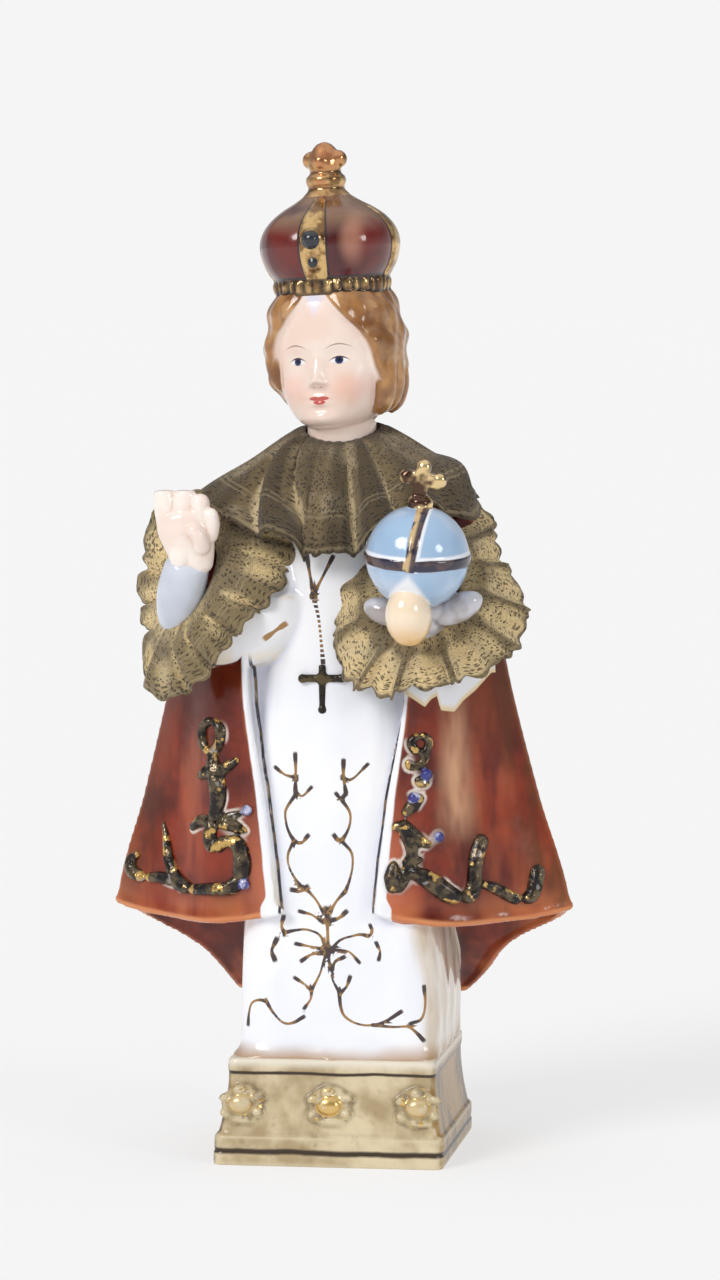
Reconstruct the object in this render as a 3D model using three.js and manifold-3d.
// A slip-cast, glazed and hand-painted porcelain figurine: a crowned child in a white gown and a long red cloak,
// the right hand raised and the left hand holding an orb, on a square moulded base. Three gathered strips of real
// lace are glued to it: a collar over the shoulders and a frill round the mouth of each sleeve.
// Millimetres, +Z up. The front faces -Y, and the origin is the middle of the base's underside.

import * as THREE from "three";
import { mergeVertices } from "three/addons/utils/BufferGeometryUtils.js";
import Module from "manifold-3d";

const wasm = await Module();
wasm.setup();

// The base, from the ground up: a foot slab, a groove, a plinth slab, a hollow flank, a groove and a cap slab.
const BASE_WIDTH = 46;
const BASE_DEPTH = 46;
const FOOT_SLAB = 2.6;
const PLINTH_SLAB = 3;
const FLANK_HEIGHT = 12;
const CAP_SLAB = 2.6;
const GROOVE = 0.4;
const CAP_INSET = 2.2;
const BASE_CORNER = 2;
const BASE_BACK_CORNER = 7;
const BASE_LEAN = 0.7;
const BOSS_WIDTH = 8;
const BOSS_HEIGHT = 7.5;
const BOSS_PROUD = 1.5;
const BOSS_SPACING = 17.6;

// The figure stands on the cap slab. Its free form is drawn at DRAWN_HEIGHT and keeps its proportions.
const FIGURE_HEIGHT = 179;
const DRAWN_HEIGHT = 179;
const GOWN_LEDGE = 0.5;
const ORB_DIAMETER = 20.4;
const ORB_BAND_WIDTH = 1.9;
const ORB_BAND_PROUD = 0.35;
const CROWN_BAND_PROUD = 0.5;
const PENDANT_WIDTH = 8.4;
const PENDANT_HEIGHT = 10.6;
const PENDANT_BAR = 1.7;
const PENDANT_PROUD = 0.9;

// The lace is cloth of one thickness, kept a little clear of the porcelain that it is glued to.
const LACE_THICKNESS = 0.9;
const LACE_GAP = 0.3;
const FRILL_WIDTH = 11.5;
const FRILL_RUFFLES = 9;
const FRILL_WAVE = 1.2;
const FRILL_SWELL = 2.4;
const COLLAR_FOLDS = 8;
const COLLAR_WAVE = 1.3;

const baseHeight = FOOT_SLAB + PLINTH_SLAB + FLANK_HEIGHT + CAP_SLAB + 2 * GROOVE;
const drawn = FIGURE_HEIGHT / DRAWN_HEIGHT;
const vec = (x, y, z) => new THREE.Vector3(x, y, z);
const mix = THREE.MathUtils.lerp;
const deg = THREE.MathUtils.degToRad;
const bump = (x, middle, reach) => Math.exp(-(((x - middle) / reach) ** 2));

// A closed surface of rings turned round an axis. Each ring is a pair of numbers of any meaning, and place(turn, ...ring)
// says where its point at that share of a turn goes. A first or last ring that meets in one point closes the end.
function shaped(rings, sides, place) {
  const profile = rings.map((_, j) => new THREE.Vector2(1, j));
  const geometry = new THREE.LatheGeometry(profile, sides);
  const position = geometry.getAttribute("position");
  for (let i = 0; i <= sides; i++) {
    rings.forEach((ring, j) => {
      const p = place((i % sides) / sides, ...ring);
      position.setXYZ(i * rings.length + j, p.x, p.y, p.z);
    });
  }
  return geometry;
}

// The geometry as a solid, with its faces turned outwards.
function solid(geometry) {
  const bare = new THREE.BufferGeometry().setAttribute("position", geometry.getAttribute("position").clone());
  bare.setIndex(geometry.index);
  const merged = mergeVertices(bare, 1e-3);
  const at = merged.getAttribute("position");
  const corners = [];
  let volume = 0;
  const [a, b, c] = [vec(), vec(), vec()];
  for (let i = 0; i < merged.index.count; i += 3) {
    const [p, q, r] = [0, 1, 2].map((k) => merged.index.getX(i + k));
    if (p === q || q === r || r === p) continue;
    corners.push(p, q, r);
    [a, b, c].forEach((v, k) => v.fromBufferAttribute(at, [p, q, r][k]));
    volume += a.dot(b.cross(c));
  }
  if (volume < 0) corners.reverse();
  return new wasm.Manifold(
    new wasm.Mesh({ numProp: 3, vertProperties: new Float32Array(at.array), triVerts: new Uint32Array(corners) }),
  );
}

// The same surface moved out along its own normals, as room round a piece that something else is cut by.
function swollen(geometry, by) {
  const bare = new THREE.BufferGeometry().setAttribute("position", geometry.getAttribute("position").clone());
  bare.setIndex(geometry.index);
  const merged = mergeVertices(bare, 1e-3);
  merged.computeVertexNormals();
  const [at, normal] = [merged.getAttribute("position"), merged.getAttribute("normal")];
  const outwards = signedVolume(merged) < 0 ? -by : by;
  for (let i = 0; i < at.count; i++) {
    at.setXYZ(
      i,
      at.getX(i) + normal.getX(i) * outwards,
      at.getY(i) + normal.getY(i) * outwards,
      at.getZ(i) + normal.getZ(i) * outwards,
    );
  }
  merged.deleteAttribute("normal");
  return merged;
}

function signedVolume(geometry) {
  const at = geometry.getAttribute("position");
  const [a, b, c] = [vec(), vec(), vec()];
  let volume = 0;
  for (let i = 0; i < geometry.index.count; i += 3) {
    [a, b, c].forEach((v, k) => v.fromBufferAttribute(at, geometry.index.getX(i + k)));
    volume += a.dot(b.cross(c));
  }
  return volume;
}

// Values read between the rows of a table whose first column is a height, along a smooth curve.
function graded(rows, height) {
  const last = rows.length - 1;
  if (height <= rows[0][0]) return rows[0].slice(1);
  if (height >= rows[last][0]) return rows[last].slice(1);
  const k = rows.findIndex((row) => row[0] > height) - 1;
  const [before, low, high, after] = [rows[Math.max(k - 1, 0)], rows[k], rows[k + 1], rows[Math.min(k + 2, last)]];
  const t = (height - low[0]) / (high[0] - low[0]);
  const slope = (p, q, column) => ((q[column] - p[column]) / (q[0] - p[0])) * (high[0] - low[0]);
  return low.slice(1).map((_, column) => {
    const c = column + 1;
    const [m0, m1] = [slope(before, high, c), slope(low, after, c)];
    const [t2, t3] = [t * t, t * t * t];
    return (
      (2 * t3 - 3 * t2 + 1) * low[c] + (t3 - 2 * t2 + t) * m0 + (3 * t2 - 2 * t3) * high[c] + (t3 - t2) * m1
    );
  });
}

// A point of an oval that is squarer as the power grows. Turn 0 is its front, and it runs towards +X.
function oval(turn, halfWidth, front, back, power = 2) {
  const angle = 2 * Math.PI * turn;
  const [s, c] = [Math.sin(angle), Math.cos(angle)];
  const soft = (value) => Math.sign(value) * Math.abs(value) ** (2 / power);
  return [halfWidth * soft(s), -soft(c) * (c > 0 ? front : back)];
}

// A point of a rectangle with rounded corners, whose 16 points are three a corner and one in each side's middle.
const SQUARE_SIDES = 16;
function roundedSquare(turn, halfWidth, halfDepth, frontCorner, backCorner) {
  const k = Math.round(turn * SQUARE_SIDES);
  const middles = [
    [0, -halfDepth],
    [halfWidth, 0],
    [0, halfDepth],
    [-halfWidth, 0],
  ];
  const which = Math.floor(k / 4) % 4;
  if (k % 4 === 0) return middles[which];
  const angle = deg(-90 + 90 * which + 45 * ((k % 4) - 1));
  const [signX, signY] = [which < 2 ? 1 : -1, which === 1 || which === 2 ? 1 : -1];
  const corner = signY > 0 ? backCorner : frontCorner;
  return [
    signX * (halfWidth - corner) + corner * Math.cos(angle),
    signY * (halfDepth - corner) + corner * Math.sin(angle),
  ];
}

// A bar along a curve, as thick as radius(share of its length) says, with a pointed or a blunt far end.
const BLUNT = 0.7;
function limb(curve, radius, { levels, sides, flatten = 1, blunt = true }) {
  const frames = curve.computeFrenetFrames(levels, false);
  const along = Array.from({ length: levels - 1 }, (_, j) => [1, j + 1]);
  const end = blunt ? [[BLUNT, levels]] : [];
  return shaped([[0, 0], ...along, ...end, [0, levels]], sides, (turn, share, level) => {
    const angle = 2 * Math.PI * turn;
    const t = level / levels;
    return curve
      .getPointAt(t)
      .addScaledVector(frames.normals[level], share * radius(t) * Math.cos(angle))
      .addScaledVector(frames.binormals[level], share * radius(t) * Math.sin(angle) * flatten);
  });
}

// A ball of three half-sizes, at a place, turned by a rotation.
function ball(centre, halfSizes, turned = new THREE.Euler(), sides = 12, rings = 8) {
  return new THREE.SphereGeometry(1, sides, rings)
    .rotateX(Math.PI / 2)
    .scale(...halfSizes)
    .applyMatrix4(new THREE.Matrix4().makeRotationFromEuler(turned))
    .translate(...centre);
}

// The base is one moulded block with three leafy bosses on its front. Its other sides are plain.
function baseSolid() {
  const [halfWidth, halfDepth] = [BASE_WIDTH / 2, BASE_DEPTH / 2];
  const plinthTop = FOOT_SLAB + GROOVE + PLINTH_SLAB;
  const flankTop = plinthTop + FLANK_HEIGHT;
  // Each ring is how far the outline stands in from the foot slab, and its height.
  const flankSteps = [0, 0.2, 0.5, 1];
  const rings = [
    [null, 0],
    [0, 0],
    [0, FOOT_SLAB],
    [GROOVE, FOOT_SLAB + GROOVE / 2],
    [GROOVE / 2, FOOT_SLAB + GROOVE],
    [GROOVE / 2, plinthTop],
    ...flankSteps.map((t) => [
      GROOVE * 2 + (CAP_INSET + GROOVE / 2 - GROOVE * 2) * Math.sin((t * Math.PI) / 2),
      plinthTop + FLANK_HEIGHT * t,
    ]),
    [CAP_INSET + GROOVE, flankTop + GROOVE / 2],
    [CAP_INSET, flankTop + GROOVE],
    [CAP_INSET, baseHeight - GROOVE],
    [CAP_INSET + GROOVE, baseHeight],
    [null, baseHeight],
  ];
  let made = solid(
    shaped(rings, SQUARE_SIDES, (turn, inset, height) => {
      if (inset === null) return vec(0, 0, height);
      const [x, y] = roundedSquare(
        turn,
        halfWidth - inset,
        halfDepth - inset,
        BASE_CORNER,
        BASE_BACK_CORNER - inset,
      );
      return vec(x + (BASE_LEAN * height) / baseHeight, y, height);
    }),
  );
  const middle = 0.52;
  const inset = CAP_INSET * 0.75;
  for (const along of [-BOSS_SPACING, 0, BOSS_SPACING]) {
    made = made.add(solid(bossGeometry().translate(along, inset - halfDepth, plinthTop + FLANK_HEIGHT * middle)));
  }
  return made;
}

// A boss: blunt petals round a swelling heart.
function bossGeometry() {
  const rings = [[0, 1], [1, 1], [1, -0.15], [0.5, -0.85], [0, -1]];
  return shaped(rings, 8, (turn, share, depth) => {
    const angle = 2 * Math.PI * turn;
    const petal = Math.round(turn * 8) % 2 === 1 || share < 1 ? 1 : 0.8;
    const [x, z] = [(BOSS_WIDTH / 2) * Math.sin(angle), (BOSS_HEIGHT / 2) * Math.cos(angle)];
    return vec(x * share * petal, BOSS_PROUD * depth, z * share * petal);
  });
}

// The gown, height by height: half width, front, back, squareness, and how far its middle leans towards +X.
const GOWN_FOOT = {
  halfWidth: BASE_WIDTH / 2 - CAP_INSET - GOWN_LEDGE,
  halfDepth: BASE_DEPTH / 2 - CAP_INSET - GOWN_LEDGE,
};
const GOWN = [
  [1.2, 19.9, 19.4, 19.9, 7, 1.2],
  [4, 19.4, 18.6, 19.4, 7, 1.6],
  [11, 19.4, 18.6, 19.2, 6.5, 1.7],
  [29, 18, 18.6, 17.6, 5, 1],
  [60, 15.5, 17.2, 13, 3.6, 0],
  [80, 14, 16, 11, 3, 0],
  [95, 12.5, 14.5, 9, 2.6, 0],
  [108, 10, 11.5, 8, 2.2, 0],
  [116, 7, 8, 7, 2, 0.5],
];
const GOWN_TOP = 116;

function gownGeometry() {
  const foot = [
    0,
    GOWN_FOOT.halfWidth / drawn,
    GOWN_FOOT.halfDepth / drawn,
    GOWN_FOOT.halfDepth / drawn,
    9,
    BASE_LEAN,
  ];
  const rows = [foot, ...GOWN];
  const heights = [-0.6, 0, 1.2, 4, 29, 45, 62, 80, 95, 107, GOWN_TOP];
  const rings = [[0, -0.6], ...heights.map((height) => [1, height]), [0, GOWN_TOP]];
  return shaped(rings, 24, (turn, share, height) => {
    const [halfWidth, front, back, power, lean] = graded(rows, height);
    const [x, y] = oval(turn, halfWidth * share, front * share, back * share, power);
    // Two soft pleats run down the front on each side of the middle.
    const pleat = 0.5 * Math.cos((2 * Math.PI * x) / 15) * bump(height, 55, 45) * (y < 0 ? share : 0);
    return vec(x + lean, y - pleat, height);
  });
}

// The cloak, height by height: its front edge (x, y), its widest point (x, y) and the middle of its back (y).
const CLOAK = [
  [7, 9.3, -20, 44, 0, 23.5],
  [28, 9.5, -20.2, 46, -2, 21.5],
  [50, 12, -19.4, 40, -2.5, 19],
  [72, 15.5, -18, 34.5, -2.5, 17],
  [90, 15, -15.5, 31, -1.5, 15],
  [103, 12, -12.5, 27.5, -0.5, 13],
  [111, 9, -10, 22.5, 0, 11.5],
  [116, 6, -8, 14, 0, 9],
  [120.3, 4, -6, 7.6, 0, 7.2],
];
const CLOAK_TOP = 120.3;
const CLOAK_FRONT_HEM = 29;
const CLOAK_PANEL_HEM = 27;
const CLOAK_BACK_HEM = 7;
const HEM_FALL = 0.79;
const PANEL_STEPS = 7;
const BACK_STEPS = 8;
const CLOAK_HALF = 2 + PANEL_STEPS + BACK_STEPS;
const CLOAK_SUNK = 6;

// The cloak's surface at a share of its front panel, from the front edge to the widest point, on one side.
function cloakPanel(side, across, height) {
  const [edgeX, edgeY, wideX, wideY] = graded(CLOAK, height);
  const fall = THREE.MathUtils.clamp(1 - (height - CLOAK_PANEL_HEM) / 70, 0, 1);
  const folds = 1.3 * fall * (bump(across, 0.36, 0.16) - 0.9 * bump(across, 0.66, 0.13));
  const y = mix(edgeY, wideY, across ** 1.7) - folds;
  return vec(side * mix(edgeX, wideX, across), y, height);
}

// The cloak's surface at a share of its back, from the widest point to the middle of the back, on one side.
function cloakBack(side, round, height) {
  const [, , wideX, wideY, backY] = graded(CLOAK, height);
  const angle = (round * Math.PI) / 2;
  const fall = THREE.MathUtils.clamp(1 - (height - CLOAK_BACK_HEM) / 95, 0, 1);
  const folds = 1 - 0.055 * fall * Math.sin(round * Math.PI) * (1 + Math.cos(round * 4.5 * Math.PI));
  return vec(side * wideX * Math.cos(angle) * folds, wideY + (backY - wideY) * Math.sin(angle) * folds, height);
}

// The height of the hem at each step round the cloak: level along the front panels, and falling towards the back.
function cloakHem(step) {
  if (step <= 2) return CLOAK_FRONT_HEM;
  if (step <= 2 + PANEL_STEPS) return mix(CLOAK_FRONT_HEM, CLOAK_PANEL_HEM, ((step - 2) / PANEL_STEPS) ** 0.5);
  const round = (step - 2 - PANEL_STEPS) / BACK_STEPS;
  const [, , wideX] = graded(CLOAK, CLOAK_PANEL_HEM);
  const inwards = wideX * (1 - Math.cos((round * Math.PI) / 2));
  return Math.max(CLOAK_BACK_HEM, CLOAK_PANEL_HEM - HEM_FALL * inwards);
}

function cloakGeometry() {
  const levels = [0, 0.08, 0.22, 0.38, 0.55, 0.7, 0.82, 0.91, 1];
  const rings = [[0, -0.02], [0.97, 0], ...levels.map((level) => [1, level]), [0, 1]];
  const centre = (height) => vec(0, 2, height);
  return shaped(rings, 2 * CLOAK_HALF, (turn, share, level) => {
    const k = Math.round(turn * 2 * CLOAK_HALF);
    const side = k <= CLOAK_HALF ? 1 : -1;
    const step = side > 0 ? k : 2 * CLOAK_HALF - k;
    const height = mix(cloakHem(step), CLOAK_TOP, Math.max(level, 0));
    if (share === 0) return centre(level < 0 ? CLOAK_PANEL_HEM - 9 : CLOAK_TOP);
    const [edgeX, edgeY] = graded(CLOAK, height);
    let point;
    if (step === 0) point = vec(0, edgeY + CLOAK_SUNK, height);
    else if (step === 1) point = vec(side * edgeX, edgeY + CLOAK_SUNK, height);
    else if (step <= 2 + PANEL_STEPS) point = cloakPanel(side, (step - 2) / PANEL_STEPS, height);
    else point = cloakBack(side, (step - 2 - PANEL_STEPS) / BACK_STEPS, height);
    return centre(height).lerp(point, share).setZ(height + (share < 1 ? (1 - share) * 12 : 0));
  });
}

// Raised gilt scrollwork on each front panel: stems as points of [share across the panel, height] and a thickness.
const SCROLLS = [
  { stem: [[0.3, 66], [0.2, 61], [0.34, 56], [0.24, 49], [0.27, 43]], thick: 1.4 },
  { stem: [[0.14, 55], [0.28, 51], [0.42, 54]], thick: 1.1 },
  { stem: [[0.1, 44], [0.24, 40], [0.36, 43]], thick: 1.2 },
  { stem: [[0.26, 42], [0.3, 37], [0.2, 33], [0.12, 31.5]], thick: 1.4 },
  { stem: [[0.14, 32], [0.3, 30.5], [0.44, 31], [0.54, 36], [0.56, 41]], thick: 1.6 },
  { stem: [[0.5, 32], [0.62, 30.5], [0.74, 32], [0.8, 37]], thick: 1.4 },
];

function scrollGeometries() {
  return [-1, 1].flatMap((side) =>
    SCROLLS.map(({ stem, thick }) => {
      const curve = new THREE.CatmullRomCurve3(stem.map(([across, height]) => cloakPanel(side, across, height)));
      return limb(curve, (t) => thick * (0.75 + 0.25 * Math.sin(Math.PI * t)), {
        levels: stem.length + 1,
        sides: 4,
        blunt: false,
      });
    }),
  );
}

// A sleeve: a bell whose mouth is a leaning oval, with the lace frill glued round it.
const SLEEVES = {
  right: {
    mouth: vec(-26.3, -14, 93),
    long: vec(0.33, 0.356, 0.874).normalize(),
    wide: vec(-0.693, 0.705, -0.026).normalize(),
    halfLong: 14,
    halfWide: 8,
    root: vec(-8, -5, 89),
    rootLong: 13,
    rootWide: 9,
    folded: { mean: 52, wide: -28, long: 8 },
  },
  left: {
    mouth: vec(18.8, -14, 91.5),
    long: vec(-0.02, 0.577, 0.816).normalize(),
    wide: vec(0.985, 0.17, 0).normalize(),
    halfLong: 13,
    halfWide: 11,
    root: vec(14, -1, 86),
    rootLong: 12,
    rootWide: 10,
    folded: { mean: 54, wide: -15, long: 17 },
  },
};
const SLEEVE_RECESS = 3;
const SLEEVE_SAG = 0.2;

function mouthNormal({ long, wide }) {
  const normal = long.clone().cross(wide).normalize();
  return normal.y > 0 ? normal.negate() : normal;
}

function sleeveGeometry(sleeve) {
  const normal = mouthNormal(sleeve);
  const rings = [[0, 0], [1, 0], [1, 0.35], [1, 0.7], [1, 1], [0.86, 1], [0, 1]];
  return shaped(rings, 16, (turn, share, along) => {
    const angle = 2 * Math.PI * turn;
    const swell = 1 + SLEEVE_SAG * bump(along, 0.35, 0.3) * (Math.cos(angle) < 0 ? 1 : 0.3);
    const halfLong = mix(sleeve.rootLong, sleeve.halfLong, along) * swell * share;
    const halfWide = mix(sleeve.rootWide, sleeve.halfWide, along) * swell * share;
    const recess = along === 1 && share < 0.5 ? -SLEEVE_RECESS : 0;
    return sleeve.root
      .clone()
      .lerp(sleeve.mouth, along)
      .addScaledVector(sleeve.long, halfLong * Math.cos(angle))
      .addScaledVector(sleeve.wide, halfWide * Math.sin(angle))
      .addScaledVector(normal, recess);
  });
}

// The forearms in their inner sleeves.
function forearmGeometries() {
  const right = new THREE.CatmullRomCurve3([vec(-21, -6, 85), vec(-27, -13, 85), vec(-27.6, -17.5, 91), vec(-26.2, -19, 98.5)]);
  const left = new THREE.CatmullRomCurve3([vec(20, -4, 84), vec(20, -14, 83), vec(19.5, -22, 86), vec(19.2, -25, 87.5)]);
  return [
    limb(right, (t) => mix(6.5, 4.6, t), { levels: 4, sides: 9 }),
    limb(left, (t) => mix(9, 6.5, t), { levels: 3, sides: 9 }),
    ball([19.5, -21, 86.5], [12, 5, 5], undefined, 10, 6),
  ];
}

// The raised right hand, palm forward: two first fingers up with blunt ends, two folded, and the thumb beside them.
function blessingHand() {
  const finger = (points, thick) => limb(new THREE.CatmullRomCurve3(points), () => thick, { levels: 3, sides: 6 });
  const palm = new THREE.CatmullRomCurve3([
    vec(-26, -18.5, 95),
    vec(-26, -19, 99),
    vec(-26.6, -19.6, 104),
    vec(-27.2, -19.6, 108.5),
  ]);
  return [
    limb(palm, (t) => mix(4, 6, Math.min(1, t * 1.5)), { levels: 3, sides: 8, flatten: 0.62 }),
    finger([vec(-27.2, -19.5, 103), vec(-27.5, -20, 108), vec(-27.3, -19.6, 112.2)], 2.2),
    finger([vec(-29.8, -19.3, 103), vec(-30.6, -19.8, 108), vec(-30.6, -19.4, 112)], 2.2),
    finger([vec(-25, -19.6, 103), vec(-24.7, -20.2, 107), vec(-24.6, -20, 111.4)], 2),
    finger([vec(-23.8, -19.4, 99.5), vec(-22.3, -20.6, 104), vec(-22.4, -20.8, 109)], 1.8),
  ];
}

// The left hand under the orb: a round palm with the thumb's side forward.
function holdingHand() {
  return [
    ball([18.6, -28.4, 87.6], [5, 5.2, 6.2], new THREE.Euler(deg(14), 0, 0), 10, 7),
    ball([19.5, -23.5, 86], [8, 6.5, 4.2], undefined, 7, 4),
  ];
}

// The orb, tipped towards +X, with a raised band round its middle, half a band over its top and a small cross.
const ORB_CENTRE = vec(19.6, -24, 97.6);
const ORB_TIP = new THREE.Euler(deg(6), deg(10), 0);

function orbGeometries() {
  const radius = ORB_DIAMETER / 2 / drawn;
  const [half, proud] = [ORB_BAND_WIDTH / 2 / drawn, ORB_BAND_PROUD / drawn];
  const put = (geometry) =>
    geometry.applyMatrix4(new THREE.Matrix4().makeRotationFromEuler(ORB_TIP)).translate(...ORB_CENTRE);
  const band = (arc) => {
    const side = (angle, reach, across) =>
      vec(Math.sin(angle) * reach, -Math.cos(angle) * reach, across);
    const steps = 14;
    const section = [
      [radius + proud, -half],
      [radius + proud, half],
      [radius - 1, half],
      [radius - 1, -half],
    ];
    if (arc === 1) return shaped([...section, section[0]], steps, (turn, reach, across) => side(2 * Math.PI * turn, reach, across));
    // Half a band, over the top: a closed loop of ring sections between two end faces.
    const halfSteps = 4;
    const rings = Array.from({ length: halfSteps + 1 }, (_, j) => [1, j / halfSteps]);
    return shaped([[0, 0], ...rings, [0, 1]], 4, (turn, share, along) => {
      const [reach, across] = section[Math.round(turn * 4) % 4];
      const middle = radius - 0.5 + proud / 2;
      const at = side(deg(mix(-7, 97, along)), mix(middle, reach, share), across * share * 1.07);
      return vec(at.z, at.y, at.x);
    });
  };
  const crossFoot = radius - 0.4;
  const cross = [
    ball([0, 0, crossFoot + 0.6], [2.6, 2.6, 1.5], undefined, 8, 4),
    new THREE.BoxGeometry(1.9, 1.7, 6.8).translate(0, 0, crossFoot + 4.6),
    new THREE.BoxGeometry(6.6, 1.6, 2).translate(0, 0, crossFoot + 5.4),
  ];
  return [
    put(new THREE.SphereGeometry(radius, 14, 9).rotateX(Math.PI / 2).rotateZ(deg(5))),
    put(band(1)),
    put(band(0.25)),
    ...cross.map(put),
  ];
}

// The pendant cross hanging on the gown's front.
const PENDANT_CENTRE = 73;

function pendantGeometry() {
  const [halfWidth, half] = [PENDANT_WIDTH / 2 / drawn, PENDANT_BAR / 2 / drawn];
  const height = PENDANT_HEIGHT / drawn;
  const [top, arm] = [height * 0.5, height * 0.22];
  const outline = new THREE.Shape(
    [
      [-half, -top], [half, -top], [half, arm - half], [halfWidth, arm - half], [halfWidth, arm + half],
      [half, arm + half], [half, top], [-half, top], [-half, arm + half], [-halfWidth, arm + half],
      [-halfWidth, arm - half], [-half, arm - half],
    ].map(([x, y]) => new THREE.Vector2(x, y)),
  );
  const depth = 3;
  const [, front] = graded(GOWN, PENDANT_CENTRE);
  return new THREE.ExtrudeGeometry(outline, { depth, bevelEnabled: false })
    .rotateX(Math.PI / 2)
    .translate(-0.5, -front - PENDANT_PROUD / drawn + depth, PENDANT_CENTRE);
}
// The head and hair are one surface, height by height above the chin: half width, front and back of the face,
// then how far the hair stands out from it, and where its edge runs as a share of the half turn from the front.
const CHIN = 121;
const HEAD = [
  [0, 4.2, 8.2, 3, 0, 1],
  [1.2, 7, 10.2, 6, 0, 1],
  [4, 9.2, 11, 10.6, 0.8, 0.62],
  [8, 10.5, 11.5, 11.5, 1.5, 0.42],
  [12, 11.3, 11.6, 12.4, 2.4, 0.38],
  [16, 11.6, 11.5, 13, 2.4, 0.38],
  [20, 11.6, 11.6, 13, 2, 0.33],
  [24, 11.2, 11.4, 12.6, 1.5, 0.22],
  [28, 10.3, 10.6, 11.4, 1, 0.1],
  [31, 9, 9.4, 10, 0.8, 0.05],
];
const HEAD_TURN = new THREE.Euler(0, deg(-3), deg(-10), "ZYX");
const NECK = vec(0.8, -0.5, 119);

// Soft dents and swellings of a plain childlike face: [share across, height, reach across, reach up, push outwards].
const FACE = [
  [0, 11.2, 0.07, 1.8, 1.5],
  [0, 9.6, 0.1, 1.1, 0.7],
  [-0.36, 14.6, 0.17, 1.7, -0.9],
  [0.36, 14.6, 0.17, 1.7, -0.9],
  [0, 6.2, 0.22, 1.2, 0.55],
  [0, 2.8, 0.26, 1.6, 0.7],
  [-0.6, 8.5, 0.3, 3, 0.5],
  [0.6, 8.5, 0.3, 3, 0.5],
];

function headGeometry() {
  const sides = 26;
  const heights = [0, 1.4, 3.4, 5.8, 8, 10, 12, 14.4, 18, 24, 31];
  const rings = [[0, 0], ...heights.map((height) => [1, height]), [0, 31]];
  return shaped(rings, sides, (turn, share, height) => {
    // The turn is bent so that more of the surface's points fall on the face.
    const bent = turn - (0.35 * Math.sin(2 * Math.PI * turn)) / (2 * Math.PI);
    const signed = bent > 0.5 ? bent - 1 : bent;
    const half = Math.abs(signed) * 2;
    const [halfWidth, front, back, hair, edge] = graded(HEAD, height);
    const [x, y] = oval(bent, halfWidth, front, back, 2.15);
    const across = Math.sin(2 * Math.PI * signed);
    const onFace = half < 0.5 ? 1 : 0;
    const relief = onFace * FACE.reduce((sum, [a, h, ra, rh, push]) => sum + push * bump(across, a, ra) * bump(height, h, rh), 0);
    const cover = THREE.MathUtils.smoothstep(half, edge, edge + 0.05);
    const locks = 0.5 * Math.sin(height * 0.75 + 5 * half) * Math.sin(half * 14);
    const out = relief * (1 - cover) + cover * Math.max(hair + locks * Math.min(1, hair), 0);
    const reach = Math.hypot(x, y);
    return vec((x * (reach + out) * share) / reach, (y * (reach + out) * share) / reach, height);
  });
}

// The hair below the jaw: the ends of the locks, curling under at the sides and the nape.
function hairEnds() {
  const last = 6;
  return Array.from({ length: last + 1 }, (_, k) => {
    const angle = deg(mix(80, 280, k / last));
    const [x, y] = [Math.sin(angle), -Math.cos(angle)];
    const low = mix(4.2, 8.5, k / last) - 1.6 * Math.sin((k / last) * Math.PI) + (k % 2) * 0.6;
    const curve = new THREE.CatmullRomCurve3([
      vec(x * 11.4, y * 12.4, low + 8),
      vec(x * 11, y * 12.2, low + 4),
      vec(x * 9.6, y * 10.8, low + 1.2),
      vec(x * 8.2, y * 9, low + 1),
    ]);
    return limb(curve, (t) => 3.6 * (1 - 0.35 * t), { levels: 3, sides: 5 });
  });
}

// The crown, height by height above the chin: its radius, how deep its four bands lie, and how far they stand out.
const CROWN = [
  [28, 10.9, 0, 0],
  [31, 11.1, 0, 0],
  [31.4, 11.2, 0.4, 1],
  [34, 12.6, 0.7, 1],
  [37, 13.8, 0.8, 1],
  [39.5, 13.7, 0.8, 1],
  [42, 12.2, 0.7, 1],
  [44.4, 9.2, 0.5, 1],
  [46.4, 6, 0.2, 0.6],
  [47.6, 4.6, 0, 0],
];

function crownGeometries() {
  const heights = [28, 31, 34, 37.5, 41, 44, 46, 47.6];
  const bandHalf = 0.036;
  const sides = 28;
  const cap = shaped([[0, 28], ...heights.map((h) => [1, h]), [0, 47.6]], sides, (turn, share, height) => {
    const [radius, valley, band] = graded(CROWN, height);
    const fourth = Math.abs(((turn * 4 + 0.5) % 1) - 0.5) / 4;
    const inBand = fourth < bandHalf ? 1 : 0;
    const puff = valley * 1.8 * (Math.min(fourth / 0.125, 1) ** 0.6 - 0.6);
    const bead = height > 28.5 && height < 31 ? 0.45 * (Math.round(turn * sides) % 2) : 0;
    const reach = (radius + puff * (1 - inBand) + bead + inBand * band * (CROWN_BAND_PROUD / drawn - valley * 0.4)) * share;
    return vec(reach * Math.sin(2 * Math.PI * turn), -reach * Math.cos(2 * Math.PI * turn), height);
  });
  const finial = [
    [0, 46.4], [4.6, 46.4], [4.5, 47.8], [3.5, 49.2], [4, 50], [3.9, 51.2], [3, 52], [3.4, 53.4], [2.2, 56.8], [0, 58],
  ];
  const knob = new THREE.LatheGeometry(finial.map(([r, z]) => new THREE.Vector2(r, z)), 8).rotateX(Math.PI / 2);
  const lobes = [-1, 1].map((side) => ball([side * 2.6, 0, 54.6], [1.9, 1.8, 1.8], undefined, 6, 4));
  const stone = [0, 90, 180, 270].map((turn) =>
    ball([0, -13.2, 38.2], [1.9, 1.1, 1.9], undefined, 6, 4).rotateZ(deg(turn)),
  );
  return [cap, knob, ...lobes, ...stone];
}

// The head, hair and crown share one turn and tilt about the neck.
function headAndCrown() {
  const place = (geometry) =>
    geometry
      .translate(0, 0, CHIN - NECK.z)
      .applyMatrix4(new THREE.Matrix4().makeRotationFromEuler(HEAD_TURN))
      .translate(...NECK);
  return [headGeometry(), ...hairEnds(), ...crownGeometries()].map(place);
}

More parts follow.
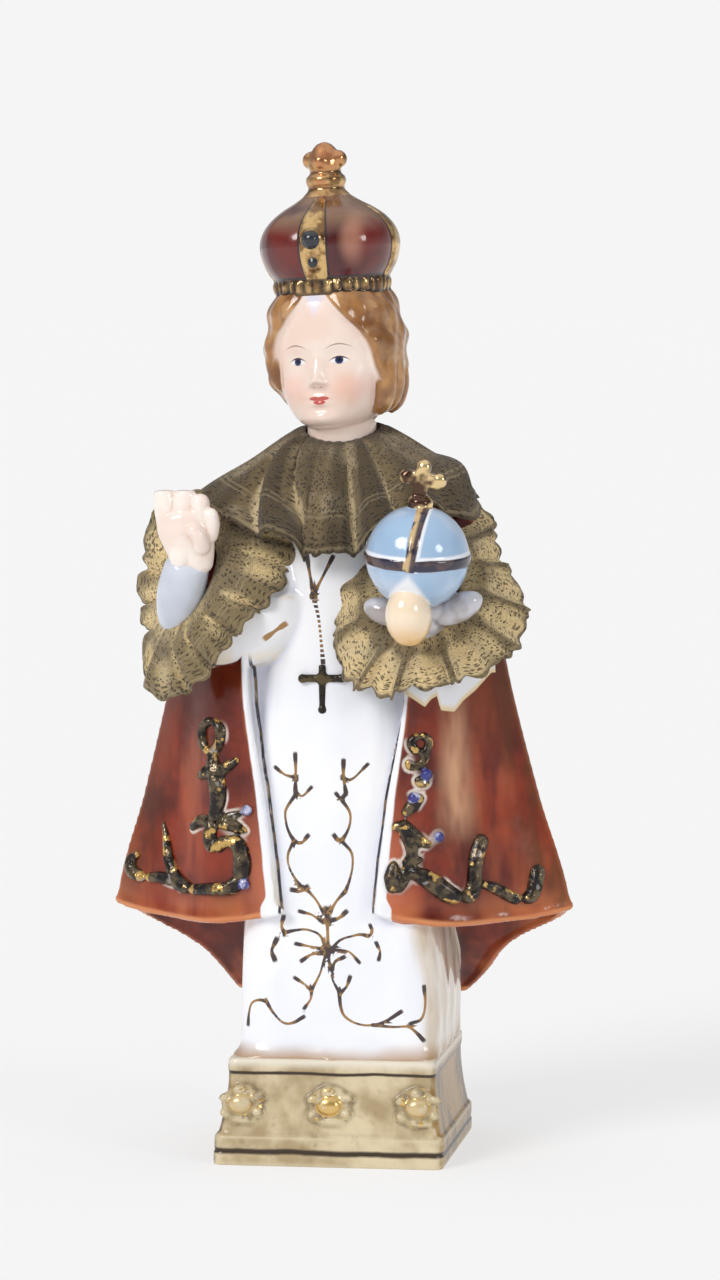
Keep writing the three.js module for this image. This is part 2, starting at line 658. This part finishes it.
function neckGeometry() {
  return shaped([[0, 108], [7.4, 108], [6.6, 117], [6.2, 124], [0, 124]], 10, (turn, radius, height) =>
    vec(0.8 + radius * Math.sin(2 * Math.PI * turn), -0.5 - radius * Math.cos(2 * Math.PI * turn), height),
  );
}

// Everything of the figure that the base carries, in its drawn size, before it is set on the base.
const sleeveShapes = [sleeveGeometry(SLEEVES.right), sleeveGeometry(SLEEVES.left)];
const robes = [gownGeometry(), cloakGeometry(), ...sleeveShapes, ...forearmGeometries(), neckGeometry()];
const hands = [...blessingHand(), ...holdingHand()];
const attributes = [...orbGeometries(), pendantGeometry(), ...scrollGeometries()];
const headPieces = headAndCrown();

const joined = (geometries) => geometries.map(solid).reduce((sum, next) => sum.add(next));
const onBase = (made) => made.scale([drawn, drawn, drawn]).translate([0, 0, baseHeight]);
const figure = baseSolid().add(onBase(joined([...robes, ...hands, ...attributes, ...headPieces])));

// A gathered strip of lace as a closed ring. inner and outer give its two edges at each turn, and wave its ruffles.
function gathered(steps, across, edges) {
  const half = LACE_THICKNESS / 2 / drawn;
  const there = Array.from({ length: across + 1 }, (_, j) => [j / across, half]);
  const rings = [...there, ...there.map(([v, h]) => [v, -h]).reverse(), there[0]];
  return shaped(rings, steps, (turn, v, lift) => {
    const { point, normal } = edges(turn, v);
    return point.addScaledVector(normal, lift);
  });
}

// A frill round a sleeve's mouth. It is glued to the mouth's edge and folded back over the sleeve, by an angle that
// changes round the mouth.
function frillGeometry(sleeve) {
  const normal = mouthNormal(sleeve);
  const width = FRILL_WIDTH / drawn;
  return gathered(4 * FRILL_RUFFLES, 2, (turn, v) => {
    const angle = 2 * Math.PI * turn;
    const [c, s] = [Math.cos(angle), Math.sin(angle)];
    const { mean, wide, long } = sleeve.folded;
    const back = deg(mean + wide * s + long * c);
    const out = sleeve.long
      .clone()
      .multiplyScalar(c / sleeve.halfLong)
      .addScaledVector(sleeve.wide, s / sleeve.halfWide)
      .normalize();
    const along = out.clone().multiplyScalar(Math.cos(back)).addScaledVector(normal, -Math.sin(back));
    const across = out.clone().multiplyScalar(Math.sin(back)).addScaledVector(normal, Math.cos(back));
    const ruffle = FRILL_WAVE * Math.sin(2 * Math.PI * FRILL_RUFFLES * turn) * (0.25 + 0.75 * v);
    const point = sleeve.mouth
      .clone()
      .addScaledVector(sleeve.long, sleeve.halfLong * c)
      .addScaledVector(sleeve.wide, sleeve.halfWide * s)
      .addScaledVector(across, 1 + FRILL_SWELL * Math.sin(back) ** 2 * Math.sin((v * Math.PI) / 2) + ruffle)
      .addScaledVector(along, v * width);
    return { point, normal: across };
  });
}

// The collar lies over the shoulders from the neck. Its lower edge dips in front and behind.
function collarGeometry() {
  return gathered(5 * COLLAR_FOLDS, 3, (turn, v) => {
    const angle = 2 * Math.PI * turn;
    const [innerX, innerY] = oval(turn, 8.2, 8, 8.6);
    const lift = 4 * bump(turn, 0.13, 0.07);
    const [outerX, outerY] = oval(turn, 26.8, 17.8, 16.5, 2.3);
    const edgeHeight = 97 + 10.5 * Math.sin(angle) ** 2 + lift;
    const fold = Math.sin(2 * Math.PI * COLLAR_FOLDS * turn);
    const out = v ** 0.85;
    const drop = v ** (1.3 + 0.5 * Math.sin(angle) ** 2);
    const point = vec(
      mix(innerX, outerX, out) + 0.8 * (1 - v),
      mix(innerY, outerY, out),
      mix(120.5, edgeHeight, drop),
    );
    const normal = vec(Math.sin(angle), -Math.cos(angle), 0.9).normalize();
    return { point: point.addScaledVector(normal, 1.2 + COLLAR_WAVE * fold * v), normal };
  });
}

// Lace cut clear of the porcelain that it lies on, as its largest piece.
function laid(geometry, under) {
  let made = solid(geometry);
  for (const piece of under) made = made.subtract(solid(swollen(piece, LACE_GAP / drawn)).add(solid(piece)));
  const pieces = made.decompose().sort((a, b) => b.volume() - a.volume());
  return onBase(pieces[0]);
}

const underLace = [...robes, ...hands, ...attributes, ...headPieces];
const rightFrill = frillGeometry(SLEEVES.right);
const leftFrill = frillGeometry(SLEEVES.left);
const collar = collarGeometry();
const laces = [
  ["lace_collar", laid(collar, underLace)],
  ["right_sleeve_lace", laid(rightFrill, [...underLace, collar])],
  ["left_sleeve_lace", laid(leftFrill, [...underLace, collar])],
];

// The finished pieces, as named meshes.
const porcelain = new THREE.MeshStandardMaterial({ color: 0xeeeef2, roughness: 0.15, metalness: 0 });
const lace = new THREE.MeshStandardMaterial({ color: 0x7d6c4d, roughness: 0.95, metalness: 0 });

function meshOf(name, made, material) {
  const { vertProperties, triVerts, numProp } = made.getMesh();
  const count = vertProperties.length / numProp;
  const position = new Float32Array(count * 3);
  for (let i = 0; i < count; i++) position.set(vertProperties.subarray(i * numProp, i * numProp + 3), i * 3);
  const geometry = new THREE.BufferGeometry()
    .setAttribute("position", new THREE.BufferAttribute(position, 3))
    .setIndex(new THREE.BufferAttribute(triVerts, 1));
  geometry.computeVertexNormals();
  const mesh = new THREE.Mesh(geometry, material);
  mesh.name = name;
  return mesh;
}

const statue = new THREE.Group();
statue.name = "crowned_child_figurine";
statue.add(meshOf("porcelain_figure", figure, porcelain));
for (const [name, made] of laces) statue.add(meshOf(name, made, lace));

export default statue;
